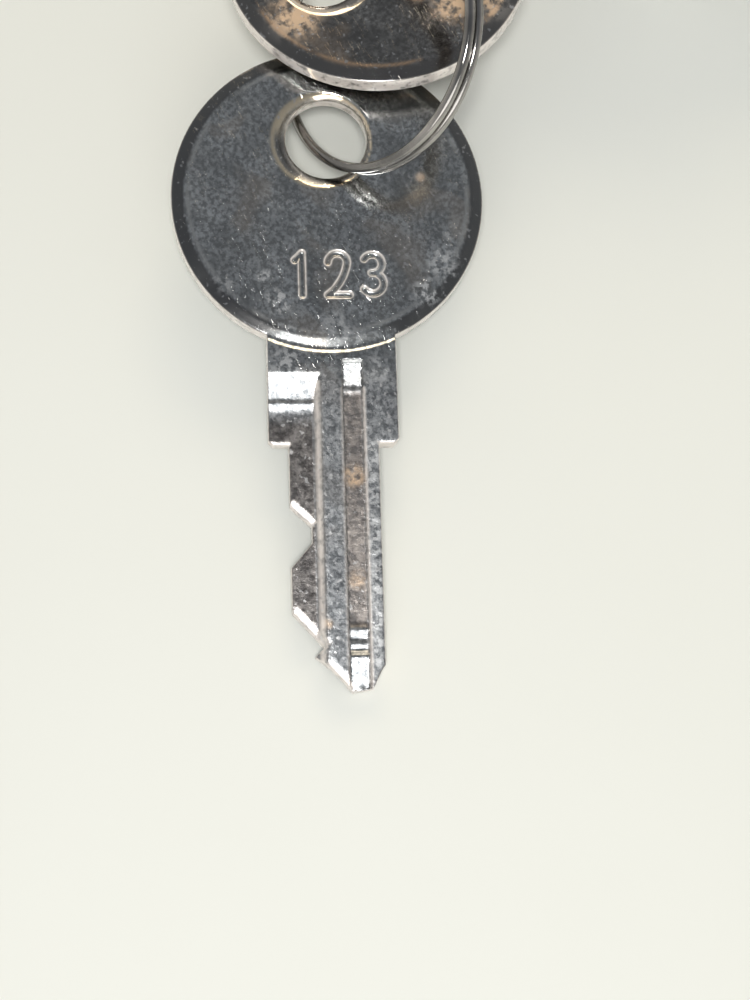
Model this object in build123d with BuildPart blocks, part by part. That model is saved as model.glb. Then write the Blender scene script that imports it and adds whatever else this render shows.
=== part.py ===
"""Cam lock lying on its side, with one key in its plug and a spare key on the split ring.

The lock's axis runs along +Y, from the keyway at the front to the cam at the back. +Z is up and
the table is z = 0. Millimetres throughout.
"""
import math
import os
from build123d import *

os.makedirs("parts", exist_ok=True)

# Where the lock's axis crosses the panel seat, in the row's frame
lock_x = -19.345
lock_y = 12.498
axis_height = 9.5

# Head and face cap
head_radius = 9.08
head_front = -3.1
cap_radius = 9.5
cap_front = -3.5
cap_edge = 0.35
cap_gap = 0.02
cap_mouth_radius = 6.6

# Barrel: 16 mm thread with two flats 14 mm apart
thread_radius = 8.0
thread_root_radius = 7.45
thread_pitch = 1.0
thread_start = 1.5
thread_crest = 0.12
thread_clearance = 0.09
undercut_radius = 7.5
undercut_start = 0.6
barrel_end = 20.0
flat_distance = 7.0
flat_cut = 4.0
bore_radius = 5.55
counterbore_radius = 6.55
counterbore_end = -1.9

# Channels the wafers drop into, and the groove that holds the retainer wafer
channel_reach = 6.5
channel_half_width = 2.65
channel_start = -0.3
channel_end = 15.6
retainer_groove_radius = 6.4
retainer_groove_start = 16.8
retainer_groove_end = 18.2

# Stop wall on the back of the housing, open for the stop washer's lug
stop_wall_inner = 6.0
stop_wall_outer = 7.4
stop_wall_height = 1.1
lug_half_angle = 13.0
stop_gap = 0.6
turn_range = 90.0

# Plug
plug_radius = 5.5
plug_flange_radius = 6.5
plug_edge = 0.3
plug_flange_back = -1.95
plug_end = 20.1
keyway_clearance = 0.08
keyway_end = 15.5
keyway_lead_in = 0.4
drive_half_width = 3.0
drive_corner_radius = 4.0
drive_end = 23.1
screw_hole_radius = 2.0
screw_hole_start = 18.9

# Wafers, at the spacing of the key's cuts
wafer_stations = (4.1, 7.1, 10.1, 13.1, 16.1)
wafer_thickness = 1.0
wafer_end_radius = 5.45
wafer_half_width = 2.4
wafer_window_half_height = 3.6
wafer_window_half_width = 1.3
ear_reach = 3.95
ear_low = -0.7
ear_high = 0.5
ear_gap = 0.1
slot_gap = 0.05
ear_travel = 2.2
pocket_radius = 0.7
pocket_floor = -3.1
pocket_height = 3.2

# Springs under the wafers' ears
spring_radius = 0.45
spring_wire_radius = 0.1
spring_pitch = 0.5
spring_gap = 0.02

# Retainer wafer
retainer_station = 21.0
retainer_reach = 6.1
retainer_back_reach = 4.8

# Parts stacked on the square drive, and the hardware on the barrel
stop_washer_radius = 5.7
stop_washer_thickness = 1.2
lug_reach = 6.8
cam_thickness = 2.0
cam_hub_radius = 8.0
cam_half_width = 7.0
cam_length = 30.0
cam_corner = 3.0
drive_fit = 0.05
stack_gap = 0.02
cam_washer_radius = 5.0
cam_washer_thickness = 1.0
screw_radius = 1.95
screw_tip_gap = 0.08
screw_head_radius = 3.9
screw_head_height = 2.6
screw_head_edge = 0.9
recess_length = 4.2
recess_width = 1.0
recess_depth = 1.5
nut_start = 11.0
nut_thickness = 5.0
nut_half_flats = 9.5
nut_corner_radius = 10.6
nut_face_radius = 9.9
nut_chamfer = 0.6
lock_washer_thickness = 1.0
lock_washer_inner = 8.1
lock_washer_outer = 9.4
lock_washer_root = 8.85
tooth_count = 14
tooth_width = 2.4

# Key, in its own frame: bow centre at the origin, blade along +Y, cut edge towards +X, face up
bow_radius = 12.0
bow_half_thickness = 0.95
rim_width = 1.05
rim_drop = 0.22
hole_radius = 3.15
hole_offset = 4.8
coin_radius = 4.05
coin_depth = 0.45
coin_shift = (0.45, 0.24)
back_coin_radius = 3.7
neck_half_width = 4.9
shoulder = 19.4
shoulder_corner = 0.35
blade_half_height = 3.375
blade_half_thickness = 0.9
land_wall_foot = 1.475
land_wall_top = 0.905
land_height = 0.25
groove_near = -0.715
groove_far = -2.325
back_groove_low = -0.55
back_groove_high = 0.75
back_groove_depth = 0.6
land_run_out = (17.25, 9.0)
groove_run_out = (14.95, 4.0)
back_run_out = (15.6, 6.0)
first_cut = ((4.65, 0.0), (6.16, 1.6), (7.44, 1.6), (9.31, 0.0))
second_cut = ((12.66, 0.0), (15.3, 2.35), (15.97, 1.65), (16.6, 2.45))
key_cuts = first_cut + second_cut
tip_profile = ((-0.99, 18.65), (-2.45, 18.41), (-3.1, 17.1), (-3.375, 16.7))
figure_depth = 0.2
figure_stroke = 0.5
figure_row = 6.2
figure_centres = (-2.12, 0.61, 3.34)
figure_lines = (
    (0, (-0.55, 1.1), (0.0, 1.65)),
    (0, (0.0, 1.65), (0.0, -1.65)),
    (1, (-0.8, -1.65), (0.85, -1.65)),
)
figure_arcs = (
    (1, (-0.75, 0.95), (0.0, 1.65), (0.72, 0.95)),
    (1, (0.72, 0.95), (0.25, -0.45), (-0.8, -1.65)),
    (2, (-0.7, 1.2), (0.65, 0.9), (-0.15, 0.1)),
    (2, (-0.15, 0.1), (0.75, -0.8), (-0.75, -1.2)),
)
blade_end_margin = 20.0

# Where the keys and the ring lie: offsets from the lock's axis at the panel seat, heights above z = 0
working_gap = 0.03
spare_offset = (15.575, -35.224)
spare_height = 5.168
spare_heading = -115.355
spare_pitch = -6.162
spare_roll = -5.138
ring_offset = (8.022, -27.065)
ring_height = 11.629
ring_normal = (-0.1649, -0.701, 0.6938)
ring_start = (0.6918, -0.5836, -0.4253)
ring_radius = 9.919
ring_wire_radius = 0.4
ring_pitch = 0.84
ring_turns = 1.69

front = Plane(origin=(lock_x, lock_y, axis_height), x_dir=(1, 0, 0), z_dir=(0, -1, 0))
side = Plane(origin=(lock_x, lock_y, axis_height), x_dir=(0, 1, 0), z_dir=(1, 0, 0))
lock_axis = Axis((lock_x, lock_y, axis_height), (0, 1, 0))


def thread_profile(gap):
    """Points (distance along the axis, radius) of the thread's ridges, held off by a gap."""
    points = []
    turns = int((barrel_end - thread_start) / thread_pitch)
    for turn in range(turns):
        ridge = thread_start + turn * thread_pitch
        points.append((ridge, thread_root_radius + gap))
        points.append((ridge + (thread_pitch - thread_crest) / 2, thread_radius + gap))
        points.append((ridge + (thread_pitch + thread_crest) / 2, thread_radius + gap))
    points.append((thread_start + turns * thread_pitch, thread_root_radius + gap))
    return points


def blade_section(gap):
    """Corners (x, z) of the blade's cross-section with its wards, or of the keyway round it."""
    edge = blade_half_height + gap
    face = blade_half_thickness + gap
    ward = back_groove_depth - blade_half_thickness - gap
    return [
        (edge, -face),
        (edge, land_height + gap),
        (land_wall_foot + gap, land_height + gap),
        (land_wall_top + gap, face),
        (groove_near - gap, face),
        (groove_near - gap, land_height + gap),
        (groove_far + gap, land_height + gap),
        (groove_far + gap, face),
        (-edge, face),
        (-edge, -face),
        (back_groove_low + gap, -face),
        (back_groove_low + gap, ward),
        (back_groove_high - gap, ward),
        (back_groove_high - gap, -face),
    ]


def at_station(depth):
    """Plane across the lock's axis, a distance behind the plug's face."""
    return front.offset(-(cap_front + depth))


def pocket_plane(depth):
    """Plane through a spring pocket's axis at the middle of the plug, facing +X."""
    return Plane(at_station(depth).from_local_coords((0, pocket_height, 0)), z_dir=(1, 0, 0))


def square_hole():
    """Cut the hole that fits the plug's drive out of the current sketch."""
    with BuildSketch(mode=Mode.PRIVATE) as hole:
        Rectangle(2 * (drive_half_width + drive_fit), 2 * (drive_half_width + drive_fit))
        Circle(drive_corner_radius + drive_fit, mode=Mode.INTERSECT)
    add(hole.sketch, mode=Mode.SUBTRACT)


# Housing: head, threaded barrel with flats, bore, wafer channels, retainer groove, stop wall
with BuildPart() as housing:
    with BuildSketch(side):
        with BuildLine():
            Polyline(
                (head_front, counterbore_radius),
                (head_front, head_radius),
                (0, head_radius),
                (0, thread_radius),
                (undercut_start, thread_radius),
                (undercut_start, undercut_radius),
                (thread_start, undercut_radius),
                *thread_profile(0),
                (barrel_end, thread_root_radius),
                (barrel_end, bore_radius),
                (counterbore_end, bore_radius),
                (counterbore_end, counterbore_radius),
                close=True,
            )
        make_face()
    revolve(axis=lock_axis)
    for flat in (1, -1):
        with BuildSketch(front):
            with Locations((0, flat * (flat_distance + flat_cut / 2))):
                Rectangle(2 * head_radius, flat_cut)
        extrude(amount=-barrel_end, mode=Mode.SUBTRACT)
    with BuildSketch(front.offset(-channel_start)):
        Rectangle(2 * channel_reach, 2 * channel_half_width)
    extrude(amount=channel_start - channel_end, mode=Mode.SUBTRACT)
    with BuildSketch(front.offset(-retainer_groove_start)):
        Circle(retainer_groove_radius)
    extrude(amount=retainer_groove_start - retainer_groove_end, mode=Mode.SUBTRACT)
    with BuildSketch(front.offset(-barrel_end)):
        wall_start = turn_range + lug_half_angle + stop_gap
        wall_end = 360 - lug_half_angle - stop_gap
        with BuildLine():
            outer_arc = CenterArc((0, 0), stop_wall_outer, wall_start, wall_end - wall_start)
            inner_arc = CenterArc((0, 0), stop_wall_inner, wall_start, wall_end - wall_start)
            Line(outer_arc @ 0, inner_arc @ 0)
            Line(outer_arc @ 1, inner_arc @ 1)
        make_face()
        Rectangle(2 * head_radius, 2 * flat_distance, mode=Mode.INTERSECT)
    extrude(amount=-stop_wall_height)
housing.part.label = "housing"
export_step(housing.part, "parts/housing.step")

# Face cap: thin cup over the head with the keyway's mouth left open
with BuildPart() as face_cap:
    with BuildSketch(side):
        with BuildLine():
            Polyline(
                (cap_front, cap_mouth_radius),
                (cap_front, cap_radius - cap_edge),
                (cap_front + cap_edge, cap_radius),
                (-cap_gap, cap_radius),
                (-cap_gap, head_radius + cap_gap),
                (head_front - cap_gap, head_radius + cap_gap),
                (head_front - cap_gap, cap_mouth_radius),
                close=True,
            )
        make_face()
    revolve(axis=lock_axis)
face_cap.part.label = "face_cap"
export_step(face_cap.part, "parts/face_cap.step")

# Plug: flange, body, warded keyway, wafer slots and spring pockets, square drive, screw hole
with BuildPart() as plug:
    with BuildSketch(side):
        with BuildLine():
            Polyline(
                (cap_front, 0),
                (cap_front, plug_flange_radius - plug_edge),
                (cap_front + plug_edge, plug_flange_radius),
                (plug_flange_back, plug_flange_radius),
                (plug_flange_back, plug_radius),
                (plug_end, plug_radius),
                (plug_end, 0),
                close=True,
            )
        make_face()
    revolve(axis=lock_axis)
    with BuildSketch(front.offset(-plug_end)):
        Rectangle(2 * drive_half_width, 2 * drive_half_width)
        Circle(drive_corner_radius, mode=Mode.INTERSECT)
    extrude(amount=plug_end - drive_end)
    with BuildSketch(front.offset(-cap_front)):
        with BuildLine():
            Polyline(*blade_section(keyway_clearance), close=True)
        make_face()
    extrude(amount=cap_front - keyway_end, mode=Mode.SUBTRACT)
    with BuildSketch(front.offset(-cap_front)):
        Rectangle(2 * (blade_half_height + keyway_lead_in), 2 * (blade_half_thickness + keyway_lead_in))
    extrude(amount=-keyway_lead_in, mode=Mode.SUBTRACT)
    for station in (*wafer_stations, retainer_station):
        with BuildSketch(at_station(station - wafer_thickness / 2 - slot_gap)):
            Rectangle(2 * thread_radius, 2 * (wafer_half_width + slot_gap))
            with Locations((0, (wafer_half_width + ear_reach) / 2)):
                Rectangle(2 * ear_travel, ear_reach - wafer_half_width + 2 * ear_gap)
        extrude(amount=-wafer_thickness - 2 * slot_gap, mode=Mode.SUBTRACT)
        with BuildSketch(pocket_plane(station)):
            Circle(pocket_radius)
        extrude(amount=pocket_floor, mode=Mode.SUBTRACT)
    with BuildSketch(front.offset(-screw_hole_start)):
        Circle(screw_hole_radius)
    extrude(amount=screw_hole_start - drive_end, mode=Mode.SUBTRACT)
plug.part.label = "plug"
export_step(plug.part, "parts/plug.step")

# Wafers: plates with a window for the blade and an ear for the spring
for number, station in enumerate(wafer_stations, start=1):
    with BuildPart() as wafer:
        with BuildSketch(at_station(station - wafer_thickness / 2)):
            Circle(wafer_end_radius)
            Rectangle(2 * wafer_end_radius, 2 * wafer_half_width, mode=Mode.INTERSECT)
            with Locations(((ear_low + ear_high) / 2, ear_reach / 2)):
                Rectangle(ear_high - ear_low, ear_reach)
            Rectangle(2 * wafer_window_half_height, 2 * wafer_window_half_width, mode=Mode.SUBTRACT)
        extrude(amount=-wafer_thickness)
    wafer.part.label = f"wafer_{number}"
    export_step(wafer.part, f"parts/wafer_{number}.step")

# Retainer wafer: solid plate with one long end that runs in the housing's groove
with BuildPart() as retainer_wafer:
    with BuildSketch(at_station(retainer_station - wafer_thickness / 2)):
        Circle(retainer_reach)
        with Locations(((retainer_reach - retainer_back_reach) / 2, 0)):
            Rectangle(retainer_reach + retainer_back_reach, 2 * wafer_half_width, mode=Mode.INTERSECT)
        with Locations(((ear_low + ear_high) / 2, ear_reach / 2)):
            Rectangle(ear_high - ear_low, ear_reach)
    extrude(amount=-wafer_thickness)
retainer_wafer.part.label = "retainer_wafer"
export_step(retainer_wafer.part, "parts/retainer_wafer.step")

# Springs: one coil under each ear, the last one under the retainer wafer's
spring_length = ear_low - pocket_floor - 2 * (spring_wire_radius + spring_gap)
for number, station in enumerate((*wafer_stations, retainer_station), start=1):
    with BuildPart() as spring:
        foot = pocket_plane(station).offset(pocket_floor + spring_wire_radius + spring_gap)
        with BuildLine():
            coil = Helix(
                spring_pitch,
                spring_length,
                spring_radius,
                center=foot.origin,
                direction=foot.z_dir,
            )
        with BuildSketch(Plane(coil @ 0, z_dir=coil % 0)):
            Circle(spring_wire_radius)
        sweep(is_frenet=True)
    spring.part.label = f"wafer_spring_{number}"
    if station == retainer_station:
        spring.part.label = "retainer_spring"
    export_step(spring.part, f"parts/{spring.part.label}.step")

# Stop washer: square hole, and a lug that runs in the gap of the stop wall
stop_washer_start = plug_end
with BuildPart() as stop_washer:
    with BuildSketch(front.offset(-stop_washer_start)):
        with BuildLine():
            lug_arc = CenterArc((0, 0), lug_reach, -lug_half_angle, 2 * lug_half_angle)
            Polyline(lug_arc @ 1, (0, 0), lug_arc @ 0)
        make_face()
        Circle(stop_washer_radius)
        square_hole()
    extrude(amount=-stop_washer_thickness)
stop_washer.part.label = "stop_washer"
export_step(stop_washer.part, "parts/stop_washer.step")

# Cam: flat arm with a square hole
cam_start = stop_washer_start + stop_washer_thickness + stack_gap
cam_end = cam_start + cam_thickness
with BuildPart() as cam:
    with BuildSketch(front.offset(-cam_start)):
        with Locations((cam_length / 2, 0)):
            cam_corners = Rectangle(cam_length, 2 * cam_half_width).vertices()
        fillet(cam_corners.sort_by(Axis.X)[2:], radius=cam_corner)
        Circle(cam_hub_radius)
        square_hole()
    extrude(amount=-cam_thickness)
cam.part.label = "cam"
export_step(cam.part, "parts/cam.step")

# Cam washer
washer_start = cam_end + stack_gap
with BuildPart() as cam_washer:
    with BuildSketch(front.offset(-washer_start)):
        Circle(cam_washer_radius)
        Circle(screw_hole_radius, mode=Mode.SUBTRACT)
    extrude(amount=-cam_washer_thickness)
cam_washer.part.label = "cam_washer"
export_step(cam_washer.part, "parts/cam_washer.step")

# Cam screw: shank, rounded head and cross recess
screw_seat = washer_start + cam_washer_thickness + stack_gap
screw_end = screw_seat + screw_head_height
with BuildPart() as cam_screw:
    with BuildSketch(side):
        with BuildLine():
            Polyline(
                (screw_end, screw_head_radius - screw_head_edge),
                (screw_end, 0),
                (screw_hole_start + screw_tip_gap, 0),
                (screw_hole_start + screw_tip_gap, screw_radius),
                (screw_seat, screw_radius),
                (screw_seat, screw_head_radius),
                (screw_end - screw_head_edge, screw_head_radius),
            )
            RadiusArc(
                (screw_end - screw_head_edge, screw_head_radius),
                (screw_end, screw_head_radius - screw_head_edge),
                screw_head_edge,
            )
        make_face()
    revolve(axis=lock_axis)
    with BuildSketch(front.offset(-screw_end)):
        Rectangle(recess_length, recess_width)
        Rectangle(recess_width, recess_length)
    extrude(amount=recess_depth, mode=Mode.SUBTRACT)
cam_screw.part.label = "cam_screw"
export_step(cam_screw.part, "parts/cam_screw.step")

# Mounting nut: chamfered hexagon threaded to the barrel
with BuildPart() as mounting_nut:
    with BuildSketch(front.offset(-nut_start)):
        RegularPolygon(nut_half_flats, 6, major_radius=False)
    extrude(amount=-nut_thickness)
    with BuildSketch(side):
        with BuildLine():
            Polyline(
                (nut_start, 0),
                (nut_start, nut_face_radius),
                (nut_start + nut_chamfer, nut_corner_radius),
                (nut_start + nut_thickness - nut_chamfer, nut_corner_radius),
                (nut_start + nut_thickness, nut_face_radius),
                (nut_start + nut_thickness, 0),
                close=True,
            )
        make_face()
    revolve(axis=lock_axis, mode=Mode.INTERSECT)
    with BuildSketch(side):
        with BuildLine():
            Polyline((thread_start, 0), *thread_profile(thread_clearance), (barrel_end, 0), close=True)
        make_face()
    revolve(axis=lock_axis, mode=Mode.SUBTRACT)
mounting_nut.part.label = "mounting_nut"
export_step(mounting_nut.part, "parts/mounting_nut.step")

# Lock washer with outward teeth
with BuildPart() as lock_washer:
    with BuildSketch(front.offset(-(nut_start - lock_washer_thickness - stack_gap))):
        Circle(lock_washer_root)
        with PolarLocations(lock_washer_root, tooth_count):
            Rectangle(2 * (lock_washer_outer - lock_washer_root), tooth_width)
        Circle(lock_washer_outer, mode=Mode.INTERSECT)
        Circle(lock_washer_inner, mode=Mode.SUBTRACT)
    extrude(amount=-lock_washer_thickness)
lock_washer.part.label = "lock_washer"
export_step(lock_washer.part, "parts/lock_washer.step")


def mill(x_from, x_to, floor, run_out, face):
    """Cut a lengthwise groove in the blade's front (face 1) or back (face -1), with a curved start."""
    full_depth_at, cutter_radius = run_out
    drop = blade_half_thickness - floor
    sweep_angle = math.acos((cutter_radius - drop) / cutter_radius)
    start = full_depth_at - cutter_radius * math.sin(sweep_angle)
    halfway = full_depth_at - cutter_radius * math.sin(sweep_angle / 2)
    halfway_floor = floor + cutter_radius * (1 - math.cos(sweep_angle / 2))
    end = shoulder + blade_end_margin
    with BuildSketch(Plane((x_from, 0, 0), x_dir=(0, 1, 0), z_dir=(1, 0, 0))) as outline:
        with BuildLine():
            Polyline(
                (start, face * blade_half_thickness),
                (start, face * bow_radius),
                (end, face * bow_radius),
                (end, face * floor),
                (full_depth_at, face * floor),
            )
            ThreePointArc(
                (full_depth_at, face * floor),
                (halfway, face * halfway_floor),
                (start, face * blade_half_thickness),
            )
        make_face()
    extrude(outline.sketch, amount=x_to - x_from, mode=Mode.SUBTRACT)


def coin(depth_plane, face_plane, radius, shift):
    """Cut the coned rim of the bow's hole."""
    with BuildSketch(depth_plane) as small_end:
        with Locations((0, -hole_offset)):
            Circle(hole_radius)
    with BuildSketch(face_plane) as large_end:
        with Locations((shift[0], shift[1] - hole_offset)):
            Circle(radius)
    loft([small_end.sketch.face(), large_end.sketch.face()], mode=Mode.SUBTRACT)


def figure_points(figure, points):
    """Points about the centre of one figure, moved to its place in the row."""
    return [(figure_centres[figure] + x, y) for x, y in points]


def figures():
    """Sketch the stamped figures 1, 2 and 3 as plain strokes."""
    with BuildLine() as strokes:
        for figure, *points in figure_lines:
            Line(*figure_points(figure, points))
        for figure, *points in figure_arcs:
            ThreePointArc(*figure_points(figure, points))
    trace(strokes.edges(), figure_stroke)


def make_key():
    """Flat key: coined bow with its hole, neck, and a warded blade with the cuts of its code."""
    with BuildPart() as key:
        with BuildSketch(Plane.YZ):
            with BuildLine():
                Polyline(
                    (0, -bow_half_thickness),
                    (bow_radius - rim_width, -bow_half_thickness),
                    (bow_radius, rim_drop - bow_half_thickness),
                    (bow_radius, bow_half_thickness - rim_drop),
                    (bow_radius - rim_width, bow_half_thickness),
                    (0, bow_half_thickness),
                    close=True,
                )
            make_face()
        revolve(axis=Axis.Z)
        with BuildSketch(Plane.XY.offset(-blade_half_thickness)):
            with BuildLine():
                Polyline(
                    (-neck_half_width, bow_radius / 2),
                    (neck_half_width, bow_radius / 2),
                    (neck_half_width, shoulder - shoulder_corner),
                    (neck_half_width - shoulder_corner, shoulder),
                    (blade_half_height, shoulder),
                    *[(blade_half_height - depth, shoulder + along) for along, depth in key_cuts],
                    *[(across, shoulder + along) for across, along in tip_profile],
                    (-blade_half_height, shoulder),
                    (shoulder_corner - neck_half_width, shoulder),
                    (-neck_half_width, shoulder - shoulder_corner),
                    close=True,
                )
            make_face()
        extrude(amount=2 * blade_half_thickness)
        mill(land_wall_foot, bow_radius, land_height, land_run_out, 1)
        mill(groove_far, groove_near, land_height, groove_run_out, 1)
        mill(back_groove_low, back_groove_high, blade_half_thickness - back_groove_depth, back_run_out, -1)
        with BuildSketch(Plane((0, land_run_out[0], 0), x_dir=(1, 0, 0), z_dir=(0, -1, 0))):
            with BuildLine():
                Polyline(
                    (land_wall_foot, land_height),
                    (land_wall_top, blade_half_thickness),
                    (land_wall_foot, 2 * blade_half_thickness),
                    close=True,
                )
            make_face()
        extrude(amount=-bow_radius - shoulder, mode=Mode.SUBTRACT)
        with BuildSketch():
            with Locations((0, -hole_offset)):
                Circle(hole_radius)
        extrude(amount=bow_half_thickness, both=True, mode=Mode.SUBTRACT)
        coin_floor = bow_half_thickness - coin_depth
        coin(Plane.XY.offset(coin_floor), Plane.XY.offset(bow_half_thickness), coin_radius, coin_shift)
        coin(Plane.XY.offset(-coin_floor), Plane.XY.offset(-bow_half_thickness), back_coin_radius, (0, 0))
        with BuildSketch(Plane((0, figure_row, bow_half_thickness), x_dir=(-1, 0, 0), z_dir=(0, 0, 1))):
            figures()
        extrude(amount=-figure_depth, mode=Mode.SUBTRACT)
    return key.part


# Working key, its shoulder against the plug's face
working_origin = (lock_x, lock_y + cap_front - working_gap - shoulder, axis_height)
key_working = make_key().moved(Location(working_origin))
key_working.label = "key_working"
export_step(key_working, "parts/key_working.step")

# Spare key, its blade's tip on the table and its bow end held up by the ring
spare_place = Pos(lock_x + spare_offset[0], lock_y + spare_offset[1], spare_height)
spare_place *= Rot(Z=spare_heading) * Rot(X=spare_pitch) * Rot(Y=spare_roll)
key_spare = make_key().moved(spare_place)
key_spare.label = "key_spare"
export_step(key_spare, "parts/key_spare.step")

# Split ring: nearly two turns of wire through both keys, starting at the spare key's hole
with BuildPart() as split_ring:
    with BuildLine():
        wire = Helix(ring_pitch, ring_turns * ring_pitch, ring_radius, center=(0, 0, (1 - ring_turns) * ring_pitch))
    with BuildSketch(Plane(wire @ 0, z_dir=wire % 0)):
        Circle(ring_wire_radius)
    sweep(is_frenet=True)
ring_centre = (lock_x + ring_offset[0], lock_y + ring_offset[1], ring_height)
split_ring.part.locate(Plane(ring_centre, x_dir=ring_start, z_dir=ring_normal).location)
split_ring.part.label = "split_ring"
export_step(split_ring.part, "parts/split_ring.step")
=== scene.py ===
import math

import bmesh
import bpy
import numpy as np
from mathutils import Matrix, Vector
from mathutils.geometry import delaunay_2d_cdt


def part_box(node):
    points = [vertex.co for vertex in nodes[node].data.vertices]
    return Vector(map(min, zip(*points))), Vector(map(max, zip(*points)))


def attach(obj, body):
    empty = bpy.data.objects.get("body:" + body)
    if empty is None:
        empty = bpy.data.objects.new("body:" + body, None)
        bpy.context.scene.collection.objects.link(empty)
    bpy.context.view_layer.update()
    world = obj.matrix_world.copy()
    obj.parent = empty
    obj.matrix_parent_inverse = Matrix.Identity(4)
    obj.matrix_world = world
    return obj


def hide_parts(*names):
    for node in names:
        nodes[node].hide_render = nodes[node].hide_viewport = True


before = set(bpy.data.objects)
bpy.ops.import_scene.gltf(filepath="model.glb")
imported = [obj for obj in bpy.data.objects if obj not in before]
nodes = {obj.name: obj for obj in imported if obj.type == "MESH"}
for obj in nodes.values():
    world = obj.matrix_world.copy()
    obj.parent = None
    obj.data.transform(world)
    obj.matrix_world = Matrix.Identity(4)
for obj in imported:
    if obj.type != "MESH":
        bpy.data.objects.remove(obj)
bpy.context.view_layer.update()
MM = 0.001

# How far along X the lock's axis is, from the round face cap, and the panel's seat behind the head
HEAD_T = 3.1 * MM
cap_low, cap_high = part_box("face_cap")
AXIS_X = (cap_low.x + cap_high.x) / 2
SEAT_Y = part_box("housing")[0].y + HEAD_T

# Key dimensions in millimetres: bow centre at the origin, blade along +Y, cut edge towards +X, face up
BOW_R = 12.0
BOW_T = 0.95
RIM_W = 1.05
RIM_DROP = 0.22
LINE_DEPTH = 0.035
LINE_W = 0.14
HOLE_R = 3.15
HOLE_Y = -4.8
COIN_R = 4.05
COIN_DEPTH = 0.45
COIN_SHIFT = (0.45, 0.24)
BACK_COIN_R = 3.7
BACK_COIN_SHIFT = (0.001, 0.0)
NECK_W = 4.9
NECK_RISE = 0.5
SHOULDER = 19.4
SHOULDER_CORNER = 0.35
BLADE_W = 3.375
BLADE_T = 0.9
LAND_FLOOR = 0.25
LAND_FOOT = 1.475
WALL_SLOPE = 9.0
LAND_TOP = 0.905
GROOVE = (-2.325, -0.715)
BACK_GROOVE = (-0.55, 0.75)
BACK_GROOVE_DEPTH = 0.6
LAND_RUN_OUT = (17.25, 9.0)
GROOVE_FULL = 14.95
BACK_RUN_OUT = (15.6, 6.0)
CUTS = (
    (4.65, 0.0), (6.16, 1.6), (7.44, 1.6), (9.31, 0.0),
    (12.66, 0.0), (15.3, 2.35), (15.97, 1.65), (16.6, 2.45),
)
TIP = ((-0.99, 18.65), (-2.45, 18.41), (-3.1, 17.1), (-3.375, 16.7))
GROOVE_RAMP = ((12.95, 0.92), (13.05, 0.67), (GROOVE_FULL, LAND_FLOOR))
LAND_STEP = ((16.0, 0.0), (16.1, 0.11), (16.75, 0.0))
GROOVE_STEP = ((14.9, 0.0), (15.05, 0.07), (15.5, 0.0))
BURNISH_SLOPE = 0.25
GROOVE_SWELL = (
    (13.5, 0.0), (14.0, 0.15), (14.7, 0.0), (15.05, 0.1), (15.5, 0.0), (15.95, 0.32), (18.1, -0.06),
)
FIGURE_Y = 6.2
FIGURE_X = (-2.12, 0.61, 3.34)
FIGURE_DEPTH = 0.17
FIGURE_HALF = 0.25
FIGURE_LIP = 0.022
FIGURE_LIP_W = 0.09
FIGURE_AREA = (4.9, 2.2)

# Spacing of the points that the key's mesh is made from, and their seeded scatter
GRID = 0.15
GRID_SCATTER = 0.02
FINE_GRID = 0.06
FINE_SCATTER = 0.008
WARD_GRID = 0.12
EDGE_CLEARANCE = 0.06
EDGE_R = 0.10
EDGE_STEPS = 4
# Lightness painted on the rounded edge's rings, from the wall inwards: a painted glint on the edge walls
EDGE_GLINT = (0.9, 0.9, 0.25, 0.25)
MITRE_LIMIT = 0.65

# Tones of the plating shared by both keys: wear with painted glints, stains and painted warm reflections,
# scuffs, specks, and darker blade, land and groove
WORN_AND_GLINT_TONE = (0.93, 0.86, 0.81)
STAIN_AND_REFLECTION_TONE = (0.92, 0.66, 0.44)
SCUFF_TONE = (0.78, 0.79, 0.80)
SPECK_TONE = (0.75, 0.74, 0.74)
RIB_TONES = ((0.09, 0.10, 0.115), (0.42, 0.43, 0.45))
LAND_TONES = ((0.08, 0.07, 0.066), (0.30, 0.275, 0.26))
GROOVE_TONES = ((0.20, 0.18, 0.17), (0.50, 0.44, 0.40))
BLADE_GRAIN = 26e-6
NICK_DEPTH = 3e-6


def arc3(a, b, c, count):
    """Points along the arc through three points."""
    (ax, ay), (bx, by), (cx, cy) = a, b, c
    d = 2 * (ax * (by - cy) + bx * (cy - ay) + cx * (ay - by))
    a_squared, b_squared, c_squared = ax**2 + ay**2, bx**2 + by**2, cx**2 + cy**2
    ux = (a_squared * (by - cy) + b_squared * (cy - ay) + c_squared * (ay - by)) / d
    uy = (a_squared * (cx - bx) + b_squared * (ax - cx) + c_squared * (bx - ax)) / d
    r = math.hypot(ax - ux, ay - uy)
    a0, a1, a2 = (math.atan2(y - uy, x - ux) for x, y in (a, b, c))
    turn = (a2 - a0) % (2 * math.pi)
    if (a1 - a0) % (2 * math.pi) > turn:
        turn -= 2 * math.pi
    angles = [a0 + turn * i / count for i in range(count + 1)]
    return [(ux + r * math.cos(angle), uy + r * math.sin(angle)) for angle in angles]


def figure_strokes():
    """Centre lines of the stamped figures 1, 2 and 3, in the key's frame."""
    one, two, three = FIGURE_X
    lines = [
        [(one - 0.55, 1.1), (one, 1.65), (one, -1.65)],
        arc3((two - 0.75, 0.95), (two, 1.65), (two + 0.72, 0.95), 14),
        arc3((two + 0.72, 0.95), (two + 0.25, -0.45), (two - 0.8, -1.65), 14),
        [(two - 0.8, -1.65), (two + 0.85, -1.65)],
        arc3((three - 0.7, 1.2), (three + 0.65, 0.9), (three - 0.15, 0.1), 14),
        arc3((three - 0.15, 0.1), (three + 0.75, -0.8), (three - 0.75, -1.2), 18),
    ]
    return [[(-x, FIGURE_Y - y) for x, y in line] for line in lines]


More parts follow.
